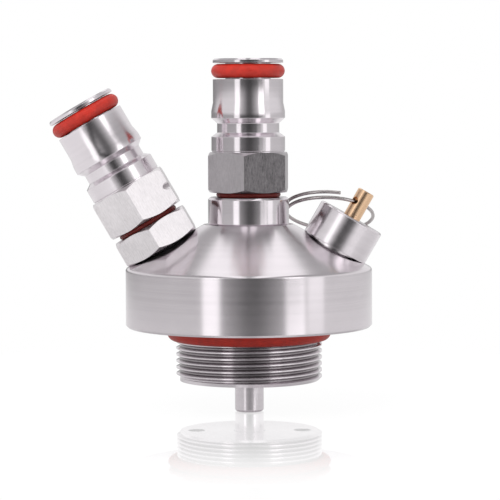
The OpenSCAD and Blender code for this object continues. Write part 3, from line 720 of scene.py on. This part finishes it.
def make_lid():
    """The lid, with a true helical thread on its neck."""
    crest, root = NECK_CREST_R, NECK_CREST_R - NECK_THREAD_DEPTH
    bore_r = TUBE_R + TUBE_GAP
    recess_r = NECK_RELIEF_R + KEG_ORING_CS + KEG_RECESS_MARGIN
    thread_foot = NECK_CHAMFER - NECK_H
    bm = bmesh.new()
    low = -NECK_H - NECK_PITCH
    profile = [bm.verts.new((r, 0, low + share * NECK_PITCH)) for r, share in zip(
        (root, root, crest, crest, root), (0, *NECK_THREAD_SHARES, 1))]
    edges = [bm.edges.new(pair) for pair in zip(profile, profile[1:])]
    turns = math.ceil((NECK_H - NECK_RELIEF_H) / NECK_PITCH) + 2
    bmesh.ops.spin(bm, geom=profile + edges, cent=(0, 0, 0), axis=(0, 0, 1), angle=math.tau * turns,
                   steps=TURN_STEPS * turns, dvec=(0, 0, NECK_PITCH / TURN_STEPS))
    bmesh.ops.remove_doubles(bm, verts=bm.verts[:], dist=THREAD_WELD)
    for height, away in ((-NECK_RELIEF_H, 1), (thread_foot, -1)):
        bmesh.ops.bisect_plane(bm, geom=bm.verts[:] + bm.edges[:] + bm.faces[:], dist=WELD,
                               plane_co=(0, 0, height), plane_no=(0, 0, away), clear_outer=True)

    def rim(height):
        return [e for e in bm.edges if e.is_boundary
                and all(abs(v.co.z - height) < RIM_REACH for v in e.verts)]

    # The neck's lower end: the chamfer starts from the thread itself
    next_loop(bm, rim(thread_foot), on_circle(crest - NECK_CHAMFER, -NECK_H))
    next_loop(bm, rim(-NECK_RELIEF_H), on_circle(NECK_RELIEF_R, -NECK_RELIEF_H))
    socket_r = COLLAR_SPIGOT_R + THREAD_GAP
    turn(bm, [
        (NECK_RELIEF_R, -NECK_RELIEF_H), (NECK_RELIEF_R, KEG_RECESS_DEPTH), (recess_r, KEG_RECESS_DEPTH),
        (recess_r, 0), (FLANGE_R - FLANGE_BOTTOM_CHAMFER, 0), (FLANGE_R, FLANGE_BOTTOM_CHAMFER),
        *arc(FLANGE_R, FLANGE_SIDE_H, FLANGE_TOP_ROUND, 0, math.pi / 2 - CONE_SLOPE),
        (LAND_R, land_z), (socket_r, land_z), (socket_r, spigot_foot_z), (bore_r, spigot_foot_z),
        (bore_r, -NECK_H), (crest - NECK_CHAMFER, -NECK_H),
    ], closed=False)
    piece = settle(bm, "lid", UPRIGHT, finishes["lid"], "tap", ["lid_body"])
    # The two ports, each with a drilling that meets its passage to the neck's underside
    passage_top = port_z - (PORT_OFFSET - PASSAGE_OFFSET) / math.tan(CONE_SLOPE) + PASSAGE_R
    passage_run = (PORT_OFFSET - PASSAGE_OFFSET) / math.sin(CONE_SLOPE)
    for place, side, spot_r, spot_depth, spigot_r, bore_depth in (
            (GAS_PORT, -1, GAS_SPOT_R, GAS_SPOT_DEPTH, ADAPTER_SPIGOT_R, GAS_BORE_DEPTH),
            (RELIEF_PORT, 1, RELIEF_SPOT_R, RELIEF_SPOT_DEPTH, RELIEF_SPIGOT_R, RELIEF_BORE_DEPTH)):
        cut_out(piece, rod(spot_r, -spot_depth, OVERRUN), place)
        cut_out(piece, rod(spigot_r + THREAD_GAP, -bore_depth, 0), place)
        cut_out(piece, rod(PASSAGE_R, -NECK_H - OVERRUN, passage_top), at(side * PASSAGE_OFFSET))
        cut_out(piece, rod(PORT_DRILL_R, -passage_run, OVERRUN - bore_depth), place)


def make_post(side, place, hex_turn):
    """A quick-connect post: turned barrel over a hexagon, which is returned."""
    undercut_r = POST_BAND_R - POST_UNDERCUT_DEPTH
    bm = bmesh.new()
    turn(bm, [
        (undercut_r, POST_HEX_H - OVERRUN / 4), (undercut_r, POST_HEX_H + POST_UNDERCUT_H),
        (POST_BAND_R, POST_HEX_H + POST_UNDERCUT_H), (POST_BAND_R, skirt_top), (POST_GROOVE_R, groove_bottom),
        (POST_GROOVE_R, groove_top), (POST_BAND_R, band_bottom), (POST_BAND_R, band_top),
        (POST_BARREL_R, barrel_bottom), (POST_BARREL_R, gland_bottom), (POST_GLAND_ROOT_R, gland_bottom),
        (POST_GLAND_ROOT_R, gland_top), (POST_BARREL_R, gland_top),
        (POST_BARREL_R, post_h - POST_LIP_CHAMFER), (POST_BARREL_R - POST_LIP_CHAMFER, post_h),
        (POST_MOUTH_R + POST_MOUTH_CHAMFER, post_h), (POST_MOUTH_R, post_h - POST_MOUTH_CHAMFER),
        (POST_MOUTH_R, seat_top), (POST_CHAMBER_R, seat_bottom), (POST_CHAMBER_R, shoulder_z),
        (BOSS_R + THREAD_GAP, shoulder_z), (BOSS_R + THREAD_GAP, POST_HEX_H - OVERRUN / 4),
    ])
    settle(bm, side + "_barrel", place, finishes[side + "_post"], "tap", [side + "_post"])
    bm = bmesh.new()
    hexagon(bm, POST_HEX_H, hex_turn, BOSS_R + THREAD_GAP)
    return settle(bm, side + "_barrel_hexagon", place, finishes[side + "_hexagon"], "tap",
                  [side + "_post"], HEX_EDGE_BREAK)


def make_stem():
    """The relief valve's brass stem, with the cross hole for the ring."""
    bm = bmesh.new()
    turn(bm, [
        (0, STEM_FLANGE_W), (STEM_FLANGE_R, STEM_FLANGE_W), (STEM_FLANGE_R, STEM_FLANGE_W + STEM_FLANGE_H),
        (STEM_SLEEVE_R, STEM_FLANGE_W + STEM_FLANGE_H), (STEM_SLEEVE_R, cap_roof_w - STEM_LIFT - SEAT_GAP),
        (STEM_R, cap_roof_w - STEM_LIFT - SEAT_GAP), (STEM_R, stem_top - STEM_CHAMFER),
        (STEM_R - STEM_CHAMFER, stem_top), (0, stem_top),
    ], closed=False)
    piece = settle(bm, "stem", RELIEF_PORT, finishes["brass"], "relief_stem", ["relief_valve_stem"])
    across = Matrix.Translation((0, 0, ring_hole_w)) @ rotation(-RING_HOLE_TURN) @ rotation(90, "X")
    cut_out(piece, rod(RING_HOLE_R, -STEM_R * 2, STEM_R * 2, across), RELIEF_PORT)


def make_ring():
    """The pull ring: a wire of a little over one turn that widens and climbs on its way."""
    points = []
    sweep = RING_HIDDEN_SWEEP + RING_VISIBLE_SWEEP
    steps = sweep // RING_STEP_DEGREES
    for i in range(steps + 1):
        degrees = sweep * i / steps - RING_HIDDEN_SWEEP
        a = math.radians(degrees)
        r = RING_R + RING_GROWTH * degrees / 360
        points.append((r * math.cos(a), r * math.sin(a), RING_CLIMB * degrees / 360))
    place = (Matrix.Translation((0, 0, ring_hole_w)) @ rotation(-RING_HOLE_TURN) @ rotation(-RING_LEAN, "Y")
             @ rotation(-RING_TWIST) @ Matrix.Translation((-RING_R, 0, 0)))
    bm = wire(points, RING_WIRE_R, place)
    settle(bm, "ring", RELIEF_PORT, finishes["ring"], "pull_ring", ["pull_ring"], edge=0)


def make_oring(name, place, radius, section, height, colour):
    """A moulded ring with its faint parting line."""
    bm = bmesh.new()
    outline = []
    for i in range(ORING_STEPS):
        a = math.tau * i / ORING_STEPS
        lift = PARTING_LINE if i in (0, ORING_STEPS // 2) else 0
        reach = section / 2 - PARTING_LINE + lift
        outline.append((radius + reach * math.cos(a), height + section / 2 * math.sin(a)))
    turn(bm, outline)
    settle(bm, name + "_ring", place, finishes[colour], "tap",
           [name + "_oring"], edge=0)


def make_spring(name, place, radius, wire_r, low, high, stroke, node, from_top=False):
    """A coil spring between two heights, on a mesh of its own."""
    piece = settle(coil(radius, wire_r, low, high), name, place, finishes["spring"], "tap",
                   [node], edge=0)
    anchor = place @ Vector((0, 0, (high if from_top else low) * MM))
    1 - stroke / (high - low)
    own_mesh(piece)


def make_studio():
    """A pale floor in white surroundings, with soft panels that the metal mirrors."""
    world = bpy.data.worlds.new("studio")
    bpy.context.scene.world = world
    tree = Tree(world)
    direction = tree.out(tree.add("ShaderNodeTexCoord"), "Generated")
    way = tree.add("ShaderNodeSeparateXYZ", inputs={"Vector": direction})
    x, y, z = (tree.out(way, axis) for axis in "XYZ")
    bearing = x.maths("ARCTAN2", x, -y) * math.degrees(1)
    height = z.maths("ARCSINE", z) * math.degrees(1)
    roll = x.maths("ARCTAN2", x, z) * math.degrees(1)
    # Light sides, a soft dark middle and two strips, for the flange and neck
    walls = WALL_LEVEL - bearing.band(*WALL_DIM) * WALL_DIM_DROP - bearing.band(*WALL_DARK) * WALL_DARK_DROP
    walls = walls + bearing.band(*WALL_LEFT_STRIP) * WALL_LEFT_GAIN + bearing.band(*WALL_RIGHT_STRIP)
    # Round the horizon, for the posts and the collar: darker, with the right strip further round
    horizon = (HORIZON_LEVEL + bearing.rise(*HORIZON_RIGHT) * HORIZON_RIGHT_GAIN
               - abs(bearing).rise(*HORIZON_REAR) * HORIZON_REAR_DROP)
    horizon = horizon - bearing.band(*HORIZON_DARK) * HORIZON_DARK_DROP
    strips = bearing.band(*HORIZON_STRIPS[0]) + bearing.band(*HORIZON_STRIPS[1])
    horizon = horizon + strips * HORIZON_STRIP_GAIN
    walls = walls + (horizon - walls) * height.band(*HORIZON_HEIGHT)
    walls = walls + (GROUND_LEVEL - walls) * height.band(*GROUND_HEIGHT)
    lights = roll.band(*CEILING_LIGHTS[0]) + roll.band(*CEILING_LIGHTS[1])
    ceiling = CEILING_LEVEL + lights * CEILING_LIGHT_GAIN
    level = walls + (ceiling - walls) * height.rise(*CEILING_START)
    light_path = tree.add("ShaderNodeLightPath")
    seen = tree.out(light_path, "Is Camera Ray")
    background = tree.add("ShaderNodeBackground", inputs={
        "Color": tree.blend(seen, tree.point(level, level, level), WHITE)})
    tree.add("ShaderNodeOutputWorld", inputs={"Surface": tree.out(background)})

    lamp = bpy.data.objects.new("key", bpy.data.lights.new("key", "AREA"))
    lamp.data.shape = "DISK"
    lamp.data.size = LAMP_SIZE
    lamp.data.energy = LAMP_POWER
    lamp.location = LAMP_PLACE
    lamp.rotation_euler = (Vector(LAMP_AIM) - lamp.location).to_track_quat("-Z", "Y").to_euler()
    lamp.visible_glossy = False
    bpy.context.scene.collection.objects.link(lamp)

    bm = bmesh.new()
    bmesh.ops.create_circle(bm, cap_ends=True, segments=FLOOR_SIDES, radius=FLOOR_R * MM,
                            matrix=Matrix.Translation((0, 0, -(TUBE_REACH + SEAT_GAP) * MM)))
    mesh = bpy.data.meshes.new("floor")
    bm.to_mesh(mesh)
    bm.free()
    floor = bpy.data.objects.new("floor", mesh)
    bpy.context.scene.collection.objects.link(floor)
    mesh.materials.append(floor_finish())


def floor_finish():
    """White table top with a soft shadow and a faint mirror image, which ends before the walls."""
    material, tree, (x, y, _) = start_finish("floor", UPRIGHT)
    far = ((x * x + y * y) ** 0.5) * (1 / MM)
    light_path = tree.add("ShaderNodeLightPath")
    grey = (FLOOR_GREY, FLOOR_GREY, FLOOR_GREY, 1)
    matt = tree.add("ShaderNodeBsdfDiffuse", inputs={"Color": grey})
    seen = tree.out(light_path, "Is Camera Ray") + tree.out(light_path, "Is Glossy Ray") * FLOOR_GLOW_IN_METAL
    glow = tree.add("ShaderNodeEmission", inputs={"Color": WHITE, "Strength": seen * FLOOR_GLOW})
    # The polish falls towards the camera, which shortens the mirror image
    gloss = tree.add("ShaderNodeBsdfGlossy", inputs={
        "Color": WHITE, "Roughness": MIRROR_ROUGHNESS, "Normal": tree.bump(y * MIRROR_FALL, 1.0)})
    white = tree.add("ShaderNodeAddShader", inputs={0: tree.out(matt), 1: tree.out(glow)})
    share = MIRROR_SHARE - far.rise(*MIRROR_FADE) * MIRROR_FADE_DROP
    table = tree.add("ShaderNodeMixShader", inputs={0: share, 1: tree.out(white), 2: tree.out(gloss)})
    clear = tree.add("ShaderNodeBsdfTransparent")
    # Clear at its edge, and from below
    edge = far.rise(*FLOOR_FADE)
    edge = edge.maths("MAXIMUM", edge, tree.out(tree.add("ShaderNodeNewGeometry"), "Backfacing"))
    mixed = tree.add("ShaderNodeMixShader", inputs={0: edge, 1: tree.out(table), 2: tree.out(clear)})
    tree.surface(mixed)
    return material


def notch_gas_hexagon(nut):
    """The round grooves across two corners that mark the gas side."""
    corner_r = HEX_AF / 2 / math.cos(math.pi / 6)
    for angle in GAS_NOTCH_TURNS:
        notch = rotation(angle) @ Matrix.Translation((corner_r, 0, POST_HEX_H / 2)) @ rotation(90, "X")
        cut_out(nut, rod(GAS_NOTCH_R, -HEX_AF / 2, HEX_AF / 2, notch), GAS_POST)


def make_collar():
    """The round collar, with its spigot in the lid and its boss in the liquid post."""
    bm = bmesh.new()
    bore_r = TUBE_R + TUBE_GAP
    turn(bm, [*spigot(COLLAR_SPIGOT_R, bore_r, land_z, spigot_foot_z),
              (COLLAR_R - COLLAR_CHAMFER / 2, land_z), (COLLAR_R, land_z + COLLAR_CHAMFER / 2),
              (COLLAR_R, collar_top_z - COLLAR_CHAMFER), (COLLAR_R - COLLAR_CHAMFER, collar_top_z),
              *boss(bore_r, collar_top_z)])
    settle(bm, "collar", UPRIGHT, finishes["collar"], "tap", ["liquid_collar"])


def make_adapter():
    """The hexagonal adapter, with its spigot in the lid and its boss in the gas post."""
    bm = bmesh.new()
    bore_r = TUBE_R + TUBE_GAP
    root = STAND_GAP + OVERRUN / 4
    turn(bm, [*spigot(ADAPTER_SPIGOT_R, bore_r, root, STAND_GAP - ADAPTER_SPIGOT_H),
              (BOSS_R - BOSS_THREAD_DEPTH, root), *boss(bore_r, adapter_top)])
    hexes = bmesh.new()
    hexagon(hexes, ADAPTER_HEX_H, GAS_HEX_TURN, bore_r + OVERRUN)
    bmesh.ops.translate(hexes, vec=(0, 0, STAND_GAP), verts=hexes.verts[:])
    join(bm, hexes)
    settle(bm, "adapter", GAS_PORT, finishes["gas_hexagon"], "tap", ["gas_adapter"])


def make_cap():
    """The relief valve's round cap, hollow round the spring."""
    bm = bmesh.new()
    turn(bm, [(VALVE_TUBE_R + STEM_GAP, STAND_GAP), (CAP_R, STAND_GAP), (CAP_R, cap_top - CAP_CHAMFER),
              (CAP_R - CAP_CHAMFER, cap_top), (STEM_R + STEM_GAP, cap_top), (STEM_R + STEM_GAP, cap_roof_w),
              (VALVE_CAVITY_R, cap_roof_w), (VALVE_CAVITY_R, valve_tube_w + SEAT_GAP),
              (VALVE_TUBE_R + STEM_GAP, valve_tube_w + SEAT_GAP)])
    settle(bm, "cap", RELIEF_PORT, finishes["cap"], "tap", ["relief_valve_cap"])


def make_dip_tube():
    """The liquid dip tube: flange, thin tube through the lid, and the stub with its rounded end."""
    foot = -liquid_post_z - TUBE_REACH
    stub_top = -liquid_post_z - NECK_H - STUB_START
    flange_bottom = BOSS_IN_POST_H + TUBE_ORING_CS + SEAT_GAP
    bm = bmesh.new()
    turn(bm, [(TUBE_BORE_R, foot + TUBE_END_ROUND),
              *arc(STUB_R, foot + TUBE_END_ROUND, TUBE_END_ROUND, -math.pi / 2, 0),
              (STUB_R, stub_top), (TUBE_R, stub_top), (TUBE_R, flange_bottom),
              (TUBE_FLANGE_R, flange_bottom), (TUBE_FLANGE_R, shoulder_z), (TUBE_BORE_R, shoulder_z)])
    settle(bm, "dip_tube", LIQUID_POST, finishes["tube"], "tap", ["liquid_dip_tube"])


def make_orings():
    """The O-rings that show: at the keg, in each post's gland and under each post."""
    make_oring("keg", UPRIGHT, NECK_RELIEF_R + KEG_ORING_CS / 2 + KEG_ORING_GAP, KEG_ORING_CS,
               KEG_RECESS_DEPTH - KEG_ORING_CS / 2 - SEAT_GAP, "red")
    for side, place in (("liquid", LIQUID_POST), ("gas", GAS_POST)):
        make_oring(side + "_post", place, POST_GLAND_ROOT_R + SEAT_GAP + POST_ORING_CS / 2, POST_ORING_CS,
                   (gland_bottom + gland_top) / 2, "red")
        make_oring(side + "_base", place, BOSS_R - BOSS_THREAD_DEPTH + BASE_ORING_CS / 2 + SEAT_GAP,
                   BASE_ORING_CS, -BASE_ORING_CS / 2 - SEAT_GAP, "dark_red")


def make_springs():
    """The valves' springs: each pin's spring reaches up to the flange under its seal."""
    seat_run = POST_CHAMBER_R - POST_MOUTH_R
    seal_r = POPPET_STEM_R + SEAT_GAP + POPPET_SEAL_CS / 2
    reach = (POPPET_SEAL_CS / 2 + SEAT_GAP) * math.hypot(seat_run, POST_SEAT_H)
    seal_z = seat_bottom + ((POST_CHAMBER_R - seal_r) * POST_SEAT_H - reach) / seat_run
    flange_foot = seal_z - POPPET_SEAL_CS / 2 - SEAT_GAP - POPPET_FLANGE_H
    for side, place in (("liquid", LIQUID_POST), ("gas", GAS_POST)):
        make_spring(side + "_spring", place, POPPET_SPRING_R, POPPET_WIRE_R, shoulder_z + CAGE_H, flange_foot,
                    POPPET_STROKE, side + "_poppet_spring")
    make_spring("relief_spring", RELIEF_PORT, RELIEF_SPRING_R, RELIEF_WIRE_R, STEM_FLANGE_W + STEM_FLANGE_H,
                cap_roof_w, STEM_LIFT, "relief_valve_spring", from_top=True)


place_camera()
make_studio()

finishes = {
    "lid": turned_finish("lid_steel", UPRIGHT, roughness=0.2, spread=0.8, pitch=0.16, root_shade_crest_r=NECK_CREST_R),
    "collar": turned_finish("collar_steel", UPRIGHT, roughness=0.14, spread=0.6),
    "liquid_post": turned_finish("liquid_post_steel", LIQUID_POST, roughness=0.14, spread=0.6),
    "liquid_hexagon": milled_finish("liquid_hexagon_steel", LIQUID_POST, LIQUID_HEX_SHADED_STEEL,
                                    painted_dark_face=LIQUID_HEX_TURN - 90),
    "gas_post": turned_finish("gas_post_steel", GAS_POST, roughness=0.17, depth=0.003),
    "gas_hexagon": milled_finish("gas_hexagon_steel", GAS_POST, PALE_STEEL),
    "cap": turned_finish("cap_steel", RELIEF_PORT, roughness=0.2, depth=0.003),
    "tube": turned_finish("tube_steel", UPRIGHT, roughness=0.2, spread=0.8),
    "brass": turned_finish("stem_brass", RELIEF_PORT, BRASS, roughness=0.26, pitch=0.2, depth=0.004),
    "ring": wire_finish("ring_wire", RELIEF_PORT),
    "spring": wire_finish("spring_wire", UPRIGHT),
    "red": silicone_finish("red_silicone", UPRIGHT, RED_SILICONE),
    "dark_red": silicone_finish("dark_red_silicone", UPRIGHT, DARK_RED_SILICONE),
    "black": silicone_finish("black_rubber", UPRIGHT, BLACK_RUBBER, 0.5),
}

make_lid()
make_post("liquid", LIQUID_POST, LIQUID_HEX_TURN)
notch_gas_hexagon(make_post("gas", GAS_POST, GAS_HEX_TURN))
make_collar()
make_adapter()
make_cap()
make_stem()
make_ring()
make_dip_tube()
make_orings()
make_springs()

# CAD nodes that stay take their finish here
kept = {
    "black": ("collar_oring", "liquid_tube_oring", "gas_tube_oring", "gas_port_oring", "relief_port_oring",
              "relief_valve_seal", "liquid_poppet_seal", "gas_poppet_seal"),
    "liquid_post": ("liquid_poppet", "liquid_poppet_cage"),
    "gas_post": ("gas_poppet", "gas_poppet_cage", "gas_dip_tube"),
    "cap": ("relief_valve_body",),
}
for finish, nodes in kept.items():
    for node in nodes:
        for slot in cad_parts[node].material_slots:
            slot.material = finishes[finish]

bpy.context.scene.view_settings.view_transform = "Standard"
